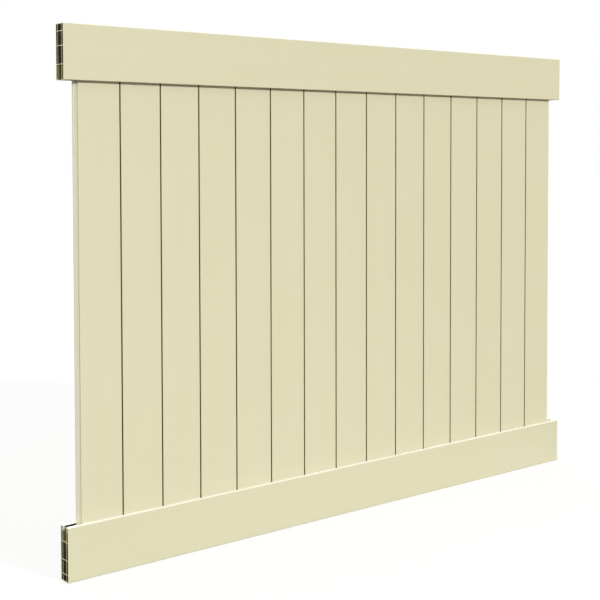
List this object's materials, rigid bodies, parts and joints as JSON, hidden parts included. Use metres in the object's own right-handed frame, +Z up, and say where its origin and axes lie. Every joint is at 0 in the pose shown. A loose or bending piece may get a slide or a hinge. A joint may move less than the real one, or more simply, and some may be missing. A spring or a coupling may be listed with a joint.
{
  "type": "vinyl privacy fence panel",
  "caption": "Full-height privacy fence panel of hollow tongue-and-groove vinyl boards held between two deep multi-chamber pocket rails, made to be fixed between posts.",
  "frame": {"origin": "under the middle of the bottom rail: half way along its length and through its thickness, on the plane that the panel stands on", "axes": "+X along the rails, from the boards' tongue side to their groove side; +Z up, from the bottom rail to the top rail; the side seen in the picture faces -Y"},
  "size_m": [2.392, 0.0508, 1.778],
  "materials": {
    "rail_vinyl": "satin",
    "board_vinyl": "satin"
  },
  "bodies": {
    "root": {"bottom_rail": "rail_vinyl", "top_rail": "rail_vinyl", "board_01": "board_vinyl", "board_02": "board_vinyl", "board_03": "board_vinyl", "board_04": "board_vinyl", "board_05": "board_vinyl", "board_06": "board_vinyl", "board_07": "board_vinyl", "board_08": "board_vinyl", "board_09": "board_vinyl", "board_10": "board_vinyl", "board_11": "board_vinyl", "board_12": "board_vinyl", "board_13": "board_vinyl", "board_14": "board_vinyl", "board_15": "board_vinyl"}
  },
  "joints": []
}
